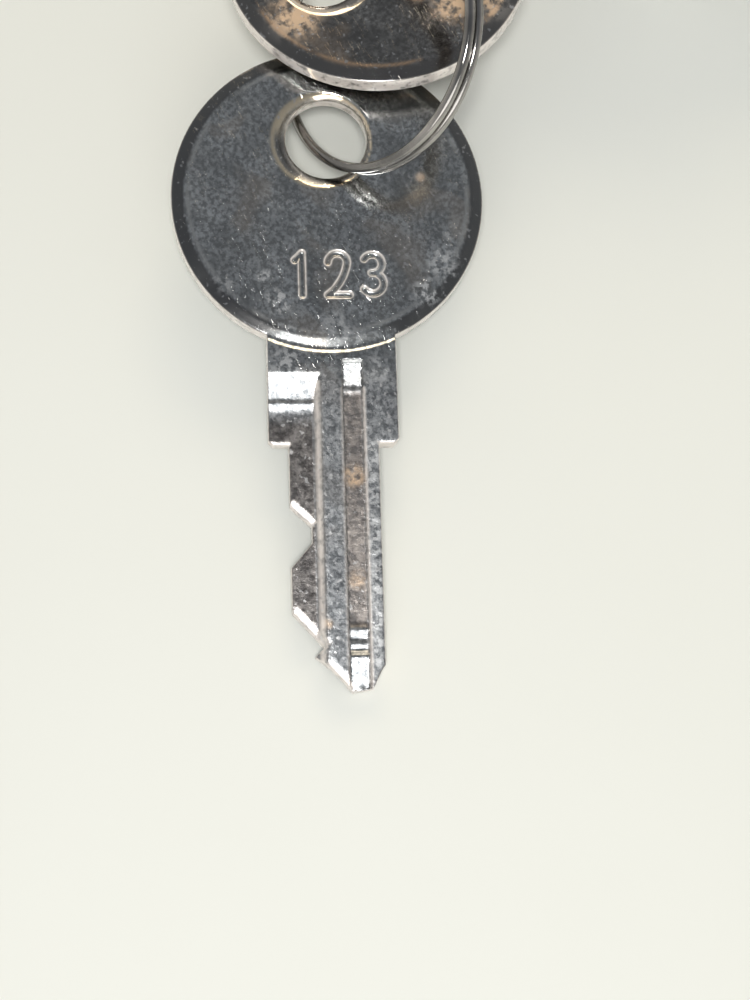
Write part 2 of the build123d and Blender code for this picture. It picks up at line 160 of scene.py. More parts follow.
def key_outline():
    """Closed outline of the key, counter-clockwise, with short even steps."""
    low, inward = SHOULDER - SHOULDER_CORNER, NECK_W - SHOULDER_CORNER
    corners = [(NECK_W, low), (inward, SHOULDER), (BLADE_W, SHOULDER)]
    corners += [(BLADE_W - depth, SHOULDER + along) for along, depth in CUTS]
    corners += [(across, SHOULDER + along) for across, along in TIP]
    corners += [(-BLADE_W, SHOULDER), (-inward, SHOULDER), (-NECK_W, low)]
    meet = math.asin(NECK_W / BOW_R)
    start, sweep = math.pi / 2 + meet, 2 * math.pi - 2 * meet
    count = int(sweep * BOW_R / GRID)
    angles = [start + sweep * i / count for i in range(count + 1)]
    bow = [(BOW_R * math.cos(angle), BOW_R * math.sin(angle)) for angle in angles]
    points = []
    path = [bow[-1], *corners, bow[0]]
    for (x0, y0), (x1, y1) in zip(path, path[1:]):
        steps = max(1, int(math.hypot(x1 - x0, y1 - y0) / GRID))
        for i in range(steps):
            points.append((x0 + (x1 - x0) * i / steps, y0 + (y1 - y0) * i / steps))
    return np.array(points + bow[:-1])


def circle(radius, centre, count):
    """Points round a circle, counter-clockwise."""
    a = np.linspace(0, 2 * math.pi, count, endpoint=False)
    return np.c_[centre[0] + radius * np.cos(a), centre[1] + radius * np.sin(a)]


def segment_distance(p, a, b):
    """Distance of each point from the nearest of the segments a-b."""
    best = np.full(len(p), 1e9)
    d = b - a
    length2 = (d**2).sum(1)
    for i in range(len(a)):
        t = np.clip(((p - a[i]) @ d[i]) / max(length2[i], 1e-12), 0, 1)
        q = a[i] + t[:, None] * d[i]
        best = np.minimum(best, ((p - q) ** 2).sum(1))
    return np.sqrt(best)


def smooth(t):
    """Ease from 0 to 1 as t goes from 0 to 1."""
    t = np.clip(t, 0, 1)
    return t * t * (3 - 2 * t)


def band(distance, width):
    """Bell curve over the distance from a line, 1 on the line."""
    return np.exp(-((distance / width) ** 2))


def along_blade(y, steps):
    """Height that runs straight from one (place, height) step to the next."""
    return np.interp(y, *np.array(steps).T)


def run_out_floor(y, run_out, floor):
    """Height of a milled floor along the blade, with the cutter's curved start."""
    full, radius = run_out
    drop = BLADE_T - floor
    start = full - math.sqrt(2 * radius * drop - drop**2)
    height = floor + radius - np.sqrt(np.maximum(radius**2 - (full - y) ** 2, 0))
    height = np.where(y >= full, floor, height)
    return np.where(y <= start, BLADE_T + 1, height)


def coin_height(x, y, radius, shift):
    """Height of the coned rim round the hole, and how far across it: 0 at the hole, 1 from its edge on."""
    above = y - HOLE_Y
    sx, sy = shift
    grow = radius - HOLE_R
    a = sx**2 + sy**2 - grow**2
    b = -2 * (x * sx + above * sy) - 2 * HOLE_R * grow
    c = x**2 + above**2 - HOLE_R**2
    root = np.sqrt(np.maximum(b**2 - 4 * a * c, 0))
    t = np.clip((-b - root) / (2 * a), 0, 1)
    return BOW_T - COIN_DEPTH * (1 - t) ** 1.5, t


def burnished_edges():
    """Edges that face the tip, at the cuts, shoulders and tip: start, end and width of the worn slope."""
    cuts = [(BLADE_W - depth, SHOULDER + along) for along, depth in CUTS]
    tip = (TIP[0][0], SHOULDER + TIP[0][1])
    return [
        (cuts[0], cuts[1], 0.55),
        (cuts[4], cuts[5], 0.6),
        (cuts[7], tip, 0.5),
        ((NECK_W - SHOULDER_CORNER, SHOULDER), (BLADE_W, SHOULDER), 0.25),
        ((-BLADE_W, SHOULDER), (SHOULDER_CORNER - NECK_W, SHOULDER), 0.2),
    ]


def neck_height(r):
    """Height of the neck's face, rising from the bow's rim."""
    return BLADE_T - (BLADE_T - BOW_T + RIM_DROP) * (1 - smooth((r - BOW_R) / NECK_RISE))


def plain_face(x, y, line_depth):
    """Height of a face before anything is cut in it, with an arc line pressed inside the rim."""
    r = np.hypot(x, y)
    bow = np.where(r < BOW_R - RIM_W, BOW_T, BOW_T - RIM_DROP * (r - BOW_R + RIM_W) / RIM_W)
    bow = bow - line_depth * band(r - BOW_R + RIM_W, LINE_W)
    return np.where(r < BOW_R, bow, neck_height(r))


def cut_groove(z, x, floor, sides):
    """Height left when a steep-sided groove is milled along the blade."""
    inside = np.minimum(x - sides[0], sides[1] - x)
    return np.minimum(z, np.maximum(floor, BLADE_T - inside * WALL_SLOPE))


def figure_distance_at(x, y):
    """Distance from the nearest stroke of the figures, and a large one away from them."""
    strokes = figure_strokes()
    near = (np.abs(x) < FIGURE_AREA[0] + 0.6) & (np.abs(y - FIGURE_Y) < FIGURE_AREA[1] + 0.4)
    d = np.full(len(x), 9.0)
    a = np.array([p for line in strokes for p in line[:-1]])
    b = np.array([p for line in strokes for p in line[1:]])
    d[near] = segment_distance(np.c_[x, y][near], a, b)
    return d


def front_height(x, y):
    """Height of the front face over the mid-plane, distance from a figure, and how burnished it is."""
    z = plain_face(x, y, LINE_DEPTH)
    chatter = 0.002 * np.sin(y * 13.0 + 1.8 * np.sin(y * 3.1) + x) + 0.002 * np.sin(y * 29.0 + 2.0 * x)
    land = run_out_floor(y, LAND_RUN_OUT, LAND_FLOOR) + chatter + along_blade(y, LAND_STEP)
    wall = LAND_FLOOR + (LAND_FOOT - x) / (LAND_FOOT - LAND_TOP) * (BLADE_T - LAND_FLOOR)
    z = np.minimum(z, np.maximum(land, wall))
    swell = along_blade(y - SHOULDER, GROOVE_SWELL) + along_blade(y, GROOVE_STEP)
    ramp_start = GROOVE_RAMP[0][0]
    groove = np.where(y < ramp_start, BLADE_T + 1, along_blade(y, GROOVE_RAMP)) + chatter + swell
    z = cut_groove(z, x, groove, GROOVE)
    rim, t = coin_height(x, y, COIN_R, COIN_SHIFT)
    z = np.where(t < 1, np.minimum(z, rim), z)
    d = figure_distance_at(x, y)
    z = z - FIGURE_DEPTH * (1 - smooth((d - 0.10) / (FIGURE_HALF - 0.06)))
    z = z + FIGURE_LIP * band(d - FIGURE_HALF - FIGURE_LIP_W, FIGURE_LIP_W)
    burnish = np.zeros(len(x))
    for (ax, ay), (bx, by), width in burnished_edges():
        length = math.hypot(bx - ax, by - ay)
        along = ((x - ax) * (bx - ax) + (y - ay) * (by - ay)) / length
        across = ((x - ax) * (ay - by) + (y - ay) * (bx - ax)) / length
        beside = (along > -0.1) & (along < length + 0.1) & (across > -0.1) & (across < width)
        z = z - np.where(beside, (width - across) * BURNISH_SLOPE, 0)
        burnish = np.where(beside, np.maximum(burnish, smooth((width - across) / 0.12)), burnish)
    return z, d, burnish


def key_marks(x, y, figure_distance, burnish, on_front, wall):
    """Masks for the material: wear with painted glints, rim, blade, 1, and arc line, coned rim, darker land,
    darker groove.
    """
    r = np.hypot(x, y)
    blade = smooth((y - BOW_R) / 3)
    # Lighter, less metallic marks: wear along the land and groove edges and on the slopes facing the tip,
    # with painted glints along the figures' shoulders and on the edge walls
    worn_and_glint = 0.9 * band(x - (LAND_TOP + LAND_FOOT) / 2, 0.24) * (y > 14.5)
    worn_and_glint = np.maximum(worn_and_glint, 0.8 * band(x - GROOVE[0] + 0.02, 0.10) * (y > 15))
    worn_and_glint = np.maximum(worn_and_glint, 0.6 * band(x - GROOVE[1] - 0.05, 0.08) * (y > 15))
    worn_and_glint = np.maximum(worn_and_glint, 0.85 * band(figure_distance - FIGURE_HALF - 0.02, 0.08))
    worn_and_glint = np.maximum(np.maximum(worn_and_glint, 0.8 * burnish) * on_front, wall)
    in_bow = 1 - smooth((y - 10.1) / 0.8) * smooth((NECK_W + 0.3 - np.abs(x)) / 0.8)
    rim = smooth((r - BOW_R + RIM_W) / 0.15) * (r < BOW_R + 0.1) * in_bow * (1 - wall)
    line = band(r - BOW_R + RIM_W + 0.22, 0.13) * in_bow
    _, t = coin_height(x, y, COIN_R, COIN_SHIFT)
    coin = smooth((1 - t) / 0.25) * (1 - 0.7 * smooth((0.55 - t) / 0.3))
    # Darker band on the inner cone, on the blade side of the hole, drawn in the rim's tone
    dark_lower_cone = smooth((0.74 - t) / 0.15) * smooth((y - HOLE_Y + 1.2) / 1.5) * (1 - wall)
    rim = np.maximum(rim, 0.9 * dark_lower_cone)
    coin = coin * (1 - dark_lower_cone)
    in_land = (1 - burnish) * smooth((x - LAND_FOOT - 0.05) / 0.1)
    in_land = in_land * smooth((y - LAND_RUN_OUT[0] + 0.4) / 1.2)
    in_groove = smooth((x - GROOVE[0] - 0.05) / 0.1) * smooth((GROOVE[1] - 0.05 - x) / 0.1)
    in_groove = in_groove * smooth((y - GROOVE_FULL) / 0.8) * (y < SHOULDER + 13.8)
    first = np.c_[worn_and_glint, rim, blade, np.ones(len(x))]
    second = np.c_[line, coin, in_land * on_front, in_groove * on_front]
    return first, second


def back_height(x, y):
    """Depth of the key's back face below its mid-plane."""
    groove = run_out_floor(y, BACK_RUN_OUT, BLADE_T - BACK_GROOVE_DEPTH)
    z = cut_groove(plain_face(x, y, 0.0), x, groove, BACK_GROOVE)
    rim, t = coin_height(x, y, BACK_COIN_R, BACK_COIN_SHIFT)
    return np.where(t < 1, np.minimum(z, rim), z)


def inward_normals(loop, sign):
    """Unit normals into the metal at each corner of a loop, lengthened at corners to keep the inset even."""
    along = np.roll(loop, -1, axis=0) - loop
    along /= np.linalg.norm(along, axis=1)[:, None]
    normal = np.c_[-along[:, 1], along[:, 0]] * sign
    middle = normal + np.roll(normal, 1, axis=0)
    middle /= np.linalg.norm(middle, axis=1)[:, None]
    return middle / np.maximum((middle * normal).sum(1), MITRE_LIMIT)[:, None]


def surface_points(outline, hole):
    """Points over the key's face: a coarse grid, a fine one at the figures, and rows along the wards."""
    wide, high = FIGURE_AREA
    rng = np.random.default_rng(4)
    xs = np.arange(-BOW_R, BOW_R + GRID, GRID)
    ys = np.arange(-BOW_R, SHOULDER + 19, GRID)
    grid = np.stack(np.meshgrid(xs, ys), -1).reshape(-1, 2)
    grid = grid + rng.uniform(-GRID_SCATTER, GRID_SCATTER, grid.shape)
    fx = np.arange(-wide, wide, FINE_GRID)
    fy = np.arange(FIGURE_Y - high, FIGURE_Y + high, FINE_GRID)
    fine = np.stack(np.meshgrid(fx, fy), -1).reshape(-1, 2)
    fine = fine + rng.uniform(-FINE_SCATTER, FINE_SCATTER, fine.shape)
    coarse = ~((np.abs(grid[:, 0]) < wide + 0.05) & (np.abs(grid[:, 1] - FIGURE_Y) < high + 0.05))
    rows = []
    for x_row in (LAND_TOP, LAND_FOOT, *GROOVE, GROOVE[0] + GRID / 2, GROOVE[1] - GRID / 2):
        line = np.arange(BOW_R + 0.2, SHOULDER + 18.6, WARD_GRID)
        rows.append(np.c_[np.full(len(line), x_row), line])
    grid = np.vstack([grid[coarse], fine, *rows])
    in_hole = np.hypot(grid[:, 0], grid[:, 1] - HOLE_Y) <= HOLE_R + EDGE_R
    grid = grid[points_inside(grid, outline) & ~in_hole]
    a = np.vstack([outline, hole])
    b = np.vstack([np.roll(outline, -1, axis=0), np.roll(hole, -1, axis=0)])
    return grid[segment_distance(grid, a, b) > EDGE_CLEARANCE]


def key_mesh(name):
    """Mesh of the key in metres, in its own frame: both faces as fine height fields with rounded edges."""
    loops = [key_outline(), circle(HOLE_R, (0, HOLE_Y), 132)]
    insets = [inward_normals(loop, sign) for loop, sign in zip(loops, (1, -1))]
    inner = [loop + inset * EDGE_R for loop, inset in zip(loops, insets)]
    points = np.vstack([*inner, surface_points(*inner)])
    edges, starts, base = [], [], 0
    for loop in inner:
        count = len(loop)
        edges += [(base + i, base + (i + 1) % count) for i in range(count)]
        starts.append(base)
        base += count
    found, _, tris, origin, _, _ = delaunay_2d_cdt([Vector(p) for p in points], edges, [], 0, 1e-5)
    place = {}
    for index, sources in enumerate(origin):
        for source in sources:
            place[source] = index
    flat = np.array([tuple(v) for v in found])
    tri = np.array([t for t in tris if len(t) == 3])
    centre = flat[tri].mean(1)
    solid = points_inside(centre, inner[0]) & ~points_inside(centre, inner[1])
    faces = [tuple(t) for t in tri[solid]]
    side_faces = []
    outer_rings = []
    total = len(flat)
    chunks, drop_chunks, wall_chunks = [flat], [np.zeros(total)], [np.zeros(total)]
    for loop, inset, start in zip(loops, insets, starts):
        count = len(loop)
        rings = []
        for step in range(EDGE_STEPS):
            angle = math.pi / 2 * step / EDGE_STEPS
            chunks.append(loop + inset * EDGE_R * (1 - math.cos(angle)))
            drop_chunks.append(np.full(count, EDGE_R * (1 - math.sin(angle))))
            # The outer rings of the rounded edge carry a painted glint
            wall_chunks.append(np.full(count, EDGE_GLINT[step]))
            rings.append(list(range(total, total + count)))
            total += count
        rings.append([place[start + i] for i in range(count)])
        for r0, r1 in zip(rings, rings[1:]):
            faces += [(r0[i], r0[(i + 1) % count], r1[(i + 1) % count], r1[i]) for i in range(count)]
        outer_rings.append(rings[0])
    flat = np.vstack(chunks)
    drops = np.concatenate(drop_chunks)
    walls = np.concatenate(wall_chunks)
    x, y = flat[:, 0], flat[:, 1]
    front, figure_distance, burnish = front_height(x, y)
    top = np.c_[x, y, front - drops]
    low = np.c_[x, y, -back_height(x, y) + drops]
    for ring in outer_rings:
        count = len(ring)
        for i in range(count):
            j = (i + 1) % count
            side_faces.append((ring[i], ring[j], ring[j] + total, ring[i] + total))
    faces += [tuple(v + total for v in reversed(face)) for face in faces] + side_faces
    used = np.unique(np.array([v for face in faces for v in face]))
    remap = np.full(2 * total, -1)
    remap[used] = np.arange(len(used))
    spots = np.vstack([top, low])[used] * MM
    front_marks = key_marks(x, y, figure_distance, burnish, 1.0, walls)
    back_marks = key_marks(x, y, np.full(total, 9.0), np.zeros(total), 0.0, walls)
    mesh = bpy.data.meshes.new(name)
    mesh.from_pydata(spots.tolist(), [], [tuple(int(remap[v]) for v in face) for face in faces])
    for label, on_front, on_back in zip(("wear_and_glint", "marks"), front_marks, back_marks):
        colour = mesh.color_attributes.new(label, "FLOAT_COLOR", "POINT")
        colour.data.foreach_set("color", np.vstack([on_front, on_back])[used].astype(np.float32).ravel())
    bm = bmesh.new()
    bm.from_mesh(mesh)
    bmesh.ops.recalc_face_normals(bm, faces=bm.faces)
    bm.to_mesh(mesh)
    bm.free()
    mesh.shade_smooth()
    return mesh


def add_spots(mesh, label, patches):
    """Mark round patches of a key's front face, as centre, radius and strength, in a named attribute."""
    spots = np.zeros(len(mesh.vertices) * 3, np.float32)
    mesh.vertices.foreach_get("co", spots)
    spots = spots.reshape(-1, 3) / MM
    amount = np.zeros(len(spots))
    for cx, cy, radius, strength in patches:
        far = np.hypot(spots[:, 0] - cx, spots[:, 1] - cy)
        amount = np.maximum(amount, strength * np.exp(-((far / radius) ** 4)))
    attribute = mesh.attributes.new(label, "FLOAT", "POINT")
    attribute.data.foreach_set("value", (amount * (spots[:, 2] > 0)).astype(np.float32))


def points_inside(p, loop):
    """Even-odd test of points against a closed loop."""
    x, y = p[:, 0], p[:, 1]
    inside = np.zeros(len(p), bool)
    x0, y0 = loop[:, 0], loop[:, 1]
    x1, y1 = np.roll(x0, -1), np.roll(y0, -1)
    for i in range(len(loop)):
        if y0[i] == y1[i]:
            continue
        crosses = (y0[i] > y) != (y1[i] > y)
        inside ^= crosses & (x < (x1[i] - x0[i]) * (y - y0[i]) / (y1[i] - y0[i]) + x0[i])
    return inside


# ---------------------------------------------------------------- the split ring's wire
RING_CENTRE = (8.022, -27.065, 11.629)
RING_NORMAL = (-0.1649, -0.701, 0.6938)
RING_START = (0.6918, -0.5836, -0.4253)
RING_R = 9.919
WIRE_R = 0.4
WIRE_FLAT = 0.035
RING_PITCH = 0.84
RING_TURNS = 1.69
RING_STEPS = 220
WIRE_SIDES = 20
END_STEPS = 3
END_SHRINK = 0.86


def ring_mesh(name):
    """Nearly two turns of wire, a little flattened where the turns lie on each other, with cut ends."""
    normal = Vector(RING_NORMAL).normalized()
    start = Vector(RING_START)
    start = (start - start.project(normal)).normalized()
    third = normal.cross(start)
    centre = Vector(RING_CENTRE)
    steps = round(RING_STEPS * RING_TURNS)
    bm = bmesh.new()
    rings = []
    for i in range(steps + 1):
        turn = RING_TURNS * 2 * math.pi * i / steps
        out = start * math.cos(turn) + third * math.sin(turn)
        lift = RING_PITCH * (turn / (2 * math.pi) + 1 - RING_TURNS)
        ease = min(i, steps - i) / END_STEPS
        shrink = 1 if ease >= 1 else END_SHRINK + (1 - END_SHRINK) * math.sqrt(ease)
        ring = []
        for k in range(WIRE_SIDES):
            a = 2 * math.pi * k / WIRE_SIDES
            u = math.cos(a) * WIRE_R * shrink
            v = max(-WIRE_R + WIRE_FLAT, min(WIRE_R - WIRE_FLAT, math.sin(a) * WIRE_R)) * shrink
            ring.append(bm.verts.new((centre + out * (RING_R + u) + normal * (lift + v)) * MM))
        rings.append(ring)
    for r0, r1 in zip(rings, rings[1:]):
        for k in range(WIRE_SIDES):
            bm.faces.new((r0[k], r1[k], r1[(k + 1) % WIRE_SIDES], r0[(k + 1) % WIRE_SIDES]))
    bm.faces.new(rings[0])
    bm.faces.new(list(reversed(rings[-1])))
    bmesh.ops.recalc_face_normals(bm, faces=bm.faces)
    mesh = bpy.data.meshes.new(name)
    bm.to_mesh(mesh)
    bm.free()
    mesh.shade_smooth()
    mesh.transform(Matrix.Translation((AXIS_X, SEAT_Y, 0)))
    return mesh


# ---------------------------------------------------------------- materials
def material(name):
    """A new node material; returns it, its nodes, its links and the principled shader."""
    mat = bpy.data.materials.new(name)
    mat.use_nodes = True
    tree = mat.node_tree
    shader = tree.nodes["Principled BSDF"]
    return mat, tree.nodes, tree.links, shader


def noise(ns, ls, scale, detail=4.0, rough=0.55, stretch=None, distortion=0.0):
    """Noise over the object's own coordinates, in features per metre."""
    coords = ns.new("ShaderNodeTexCoord")
    source = coords.outputs["Object"]
    if stretch:
        mapping = ns.new("ShaderNodeMapping")
        mapping.inputs["Scale"].default_value = stretch
        ls.new(source, mapping.inputs["Vector"])
        source = mapping.outputs["Vector"]
    tex = ns.new("ShaderNodeTexNoise")
    tex.inputs["Scale"].default_value = scale
    tex.inputs["Detail"].default_value = detail
    tex.inputs["Roughness"].default_value = rough
    tex.inputs["Distortion"].default_value = distortion
    ls.new(source, tex.inputs["Vector"])
    return tex.outputs["Fac"]


def ramp(ns, ls, value, stops):
    """Colour or grey ramp over a value. Stops are (position, colour or grey)."""
    node = ns.new("ShaderNodeValToRGB")
    elements = node.color_ramp.elements
    while len(elements) < len(stops):
        elements.new(0.5)
    for element, (place, tone) in zip(elements, stops):
        element.position = place
        element.color = (*tone, 1) if isinstance(tone, tuple) else (tone, tone, tone, 1)
    ls.new(value, node.inputs["Fac"])
    return node.outputs["Color"]


def mix(ns, ls, factor, a, b, blend="MIX"):
    """Mix two colours; the factor is a number or a socket, and so is each colour."""
    node = ns.new("ShaderNodeMix")
    node.data_type = "RGBA"
    node.blend_type = blend
    for socket, value in ((node.inputs["Factor"], factor), (node.inputs["A"], a), (node.inputs["B"], b)):
        if isinstance(value, bpy.types.NodeSocket):
            ls.new(value, socket)
        elif isinstance(value, tuple):
            socket.default_value = (*value, 1)
        else:
            socket.default_value = value
    return node.outputs["Result"]


def maths(ns, ls, operation, a, b=0.0):
    """One sum over numbers or sockets."""
    node = ns.new("ShaderNodeMath")
    node.operation = operation
    for socket, value in zip(node.inputs, (a, b)):
        if isinstance(value, bpy.types.NodeSocket):
            ls.new(value, socket)
        else:
            socket.default_value = value
    return node.outputs["Value"]


def bump(ns, ls, height, distance, strength=1.0, normal=None):
    """Surface normal from a height between 0 and 1, over another normal if there is one."""
    node = ns.new("ShaderNodeBump")
    node.inputs["Distance"].default_value = distance
    node.inputs["Strength"].default_value = strength
    ls.new(height, node.inputs["Height"])
    if normal is not None:
        ls.new(normal, node.inputs["Normal"])
    return node.outputs["Normal"]


def metal(name, tone, dark, rough, scratch=0.5, grain=2600.0, grain_depth=2e-6, stretch=None):
    """Plated or bare metal: mottled tone, uneven roughness, fine grain and scratches."""
    mat, ns, ls, shader = material(name)
    shader.inputs["Metallic"].default_value = 1.0
    cloud = noise(ns, ls, 260.0, 6.0)
    speck = noise(ns, ls, 1900.0, 3.0)
    base = mix(ns, ls, ramp(ns, ls, cloud, ((0.35, 0.0), (0.7, 1.0))), dark, tone)
    specks = ramp(ns, ls, speck, ((0.62, 0.0), (0.74, 0.5)))
    base = mix(ns, ls, specks, base, tuple(c * 0.45 for c in tone))
    ls.new(base, shader.inputs["Base Color"])
    low, high = rough
    ls.new(ramp(ns, ls, noise(ns, ls, 420.0, 5.0), ((0.3, low), (0.72, high))), shader.inputs["Roughness"])
    lines = noise(ns, ls, 900.0, 2.0, 0.5, stretch or (1.0, 14.0, 1.0), 0.4)
    scratches = ramp(ns, ls, lines, ((0.60, 0.0), (0.66, 1.0)))
    normal = bump(ns, ls, noise(ns, ls, grain, 3.0), grain_depth)
    normal = bump(ns, ls, scratches, 3e-6 * scratch, 1.0, normal)
    ls.new(normal, shader.inputs["Normal"])
    return mat


def key_metal(name, tone, warm, warm_cover, rim_tone, line_tone, coin_tone, rough, grain_depth):
    """Nickel-plated key: mottled plating, dark rim, base metal at worn edges with painted glints, stains and
    painted warm reflections, rougher milled blade.
    """
    mat, ns, ls, shader = material(name)
    masks = []
    for label in ("wear_and_glint", "marks"):
        attribute = ns.new("ShaderNodeAttribute")
        attribute.attribute_name = label
        split = ns.new("ShaderNodeSeparateColor")
        ls.new(attribute.outputs["Color"], split.inputs["Color"])
        masks.append(split.outputs)
    worn_and_glint, rim, blade = masks[0]["Red"], masks[0]["Green"], masks[0]["Blue"]
    line, coin, land = masks[1]["Red"], masks[1]["Green"], masks[1]["Blue"]
    groove = attribute.outputs["Alpha"]
    # Stain patches: stains on the spare key, painted warm reflections on the working key
    stain_and_reflection = ns.new("ShaderNodeAttribute")
    stain_and_reflection.attribute_name = "stain_and_reflection"
    scuff = ns.new("ShaderNodeAttribute")
    scuff.attribute_name = "scuff"
    cloud = noise(ns, ls, 330.0, 7.0, 0.62, None, 0.6)
    dark = tuple(c * 0.5 for c in tone)
    base = mix(ns, ls, ramp(ns, ls, cloud, ((0.34, 0.0), (0.66, 1.0))), dark, tone)
    fine = noise(ns, ls, 2900.0, 3.0, 0.6)
    base = mix(ns, ls, ramp(ns, ls, fine, ((0.40, 0.8), (0.60, 0.0))), base, tuple(c * 0.35 for c in tone))
    # Warm patches; on the working key a painted warm reflection
    patches = ramp(ns, ls, noise(ns, ls, 190.0, 3.0, 0.5, None, 0.5), ((0.56, 0.0), (0.64, 1.0)))
    base = mix(ns, ls, maths(ns, ls, "MULTIPLY", patches, warm_cover), base, warm)
    rib_mottle = ramp(ns, ls, noise(ns, ls, 2400.0, 4.0, 0.7), ((0.42, 0.0), (0.60, 1.0)))
    rib = mix(ns, ls, rib_mottle, *RIB_TONES)
    base = mix(ns, ls, maths(ns, ls, "MULTIPLY", blade, 0.75), base, rib)
    # Darker, blotchy tones on the land and groove floors
    blotches = ramp(ns, ls, noise(ns, ls, 1500.0, 5.0, 0.7), ((0.42, 0.0), (0.60, 1.0)))
    base = mix(ns, ls, maths(ns, ls, "MULTIPLY", land, 0.85), base, mix(ns, ls, blotches, *LAND_TONES))
    base = mix(ns, ls, maths(ns, ls, "MULTIPLY", groove, 0.8), base, mix(ns, ls, blotches, *GROOVE_TONES))
    torn = ramp(ns, ls, noise(ns, ls, 1000.0, 5.0, 0.6), ((0.38, 0.1), (0.54, 1.0)))
    stain_reflection_here = maths(ns, ls, "MULTIPLY", stain_and_reflection.outputs["Fac"], torn)
    base = mix(ns, ls, stain_reflection_here, base, STAIN_AND_REFLECTION_TONE)
    base = mix(ns, ls, rim, base, rim_tone)
    chipped = ramp(ns, ls, noise(ns, ls, 1700.0, 4.0, 0.65), ((0.46, 0.0), (0.56, 1.0)))
    scuffed = maths(ns, ls, "MULTIPLY", scuff.outputs["Fac"], chipped)
    base = mix(ns, ls, scuffed, base, SCUFF_TONE)
    # Wear with painted glints: lighter, less metallic plating
    ragged = ramp(ns, ls, noise(ns, ls, 1500.0, 4.0), ((0.30, 0.5), (0.50, 1.0)))
    worn_and_glint_here = maths(ns, ls, "MULTIPLY", worn_and_glint, ragged)
    broken = ramp(ns, ls, noise(ns, ls, 240.0, 3.0), ((0.42, 0.0), (0.52, 1.0)))
    # Arc line inside the rim; the working key's copper line is a painted reflection
    line_here = maths(ns, ls, "MULTIPLY", line, broken)
    base = mix(ns, ls, line_here, base, line_tone)
    base = mix(ns, ls, coin, base, coin_tone)
    base = mix(ns, ls, worn_and_glint_here, base, WORN_AND_GLINT_TONE)
    specks = ramp(ns, ls, noise(ns, ls, 2300.0, 2.0, 0.4), ((0.65, 0.0), (0.70, 1.0)))
    base = mix(ns, ls, maths(ns, ls, "MULTIPLY", specks, 0.6), base, SPECK_TONE)
    ls.new(base, shader.inputs["Base Color"])
    plating = maths(ns, ls, "SUBTRACT", 1.0, maths(ns, ls, "MULTIPLY", worn_and_glint_here, 0.7))
    plating = maths(ns, ls, "SUBTRACT", plating, maths(ns, ls, "MULTIPLY", stain_reflection_here, 0.65))
    plating = maths(ns, ls, "SUBTRACT", plating, maths(ns, ls, "MULTIPLY", scuffed, 0.3))
    ls.new(plating, shader.inputs["Metallic"])
    low, high = rough
    spread = ramp(ns, ls, noise(ns, ls, 380.0, 6.0), ((0.3, low), (0.7, high)))
    rougher = maths(ns, ls, "ADD", spread, maths(ns, ls, "MULTIPLY", blade, 0.17))
    roughness = maths(ns, ls, "SUBTRACT", rougher, maths(ns, ls, "MULTIPLY", coin, 0.08))
    ls.new(roughness, shader.inputs["Roughness"])
    pits = ramp(ns, ls, noise(ns, ls, 1300.0, 2.0), ((0.28, 0.0), (0.36, 1.0)))
    normal = bump(ns, ls, noise(ns, ls, 2700.0, 5.0, 0.6), grain_depth)
    normal = bump(ns, ls, pits, grain_depth * 1.5, 0.6, normal)
    milled = maths(ns, ls, "MULTIPLY", noise(ns, ls, 2100.0, 5.0, 0.7), blade)
    normal = bump(ns, ls, milled, BLADE_GRAIN, 1.0, normal)
    nicks = ramp(ns, ls, noise(ns, ls, 700.0, 2.0, 0.5, (1.0, 9.0, 1.0), 1.2), ((0.655, 0.0), (0.675, 1.0)))
    normal = bump(ns, ls, nicks, NICK_DEPTH, 0.7, normal)
    ls.new(normal, shader.inputs["Normal"])
    return mat


zinc = metal("zinc", (0.60, 0.59, 0.57), (0.46, 0.455, 0.45), (0.30, 0.46), 0.6, 3000.0, 3e-6)
chrome = metal("chrome", (0.80, 0.80, 0.80), (0.70, 0.70, 0.71), (0.06, 0.16), 0.4, 2400.0, 8e-7)
plug_zinc = metal("plug_zinc", (0.62, 0.61, 0.59), (0.50, 0.49, 0.48), (0.22, 0.36), 0.6, 2600.0, 2e-6)
brass = metal("brass", (0.78, 0.60, 0.30), (0.60, 0.44, 0.22), (0.22, 0.36), 0.5, 2600.0, 2e-6)
spring_wire = metal("spring_wire", (0.58, 0.57, 0.56), (0.44, 0.43, 0.42), (0.18, 0.30), 0.3, 2600.0, 1e-6)
plated = metal("plated", (0.66, 0.65, 0.61), (0.52, 0.51, 0.47), (0.24, 0.42), 0.6, 2800.0, 2.5e-6)
ring_metal = metal("ring_metal", (0.50, 0.48, 0.46), (0.22, 0.215, 0.21), (0.06, 0.14), 0.4, 2600.0, 1.0e-6)
spare_metal = key_metal(
    "spare_key_metal", tone=(0.78, 0.80, 0.80), warm=(0.66, 0.57, 0.48), warm_cover=0.30,
    rim_tone=(0.20, 0.20, 0.20), line_tone=(0.66, 0.66, 0.64), coin_tone=(0.86, 0.74, 0.56),
    rough=(0.11, 0.22), grain_depth=5e-6,
)
# The working key's warm patches, stain patches and copper arc line are painted warm reflections
working_metal = key_metal(
    "working_key_metal", tone=(0.46, 0.45, 0.44), warm=(0.80, 0.58, 0.40), warm_cover=0.25,
    rim_tone=(0.24, 0.23, 0.22), line_tone=(0.86, 0.60, 0.40), coin_tone=(0.70, 0.62, 0.52),
    rough=(0.09, 0.19), grain_depth=1.2e-6,
)

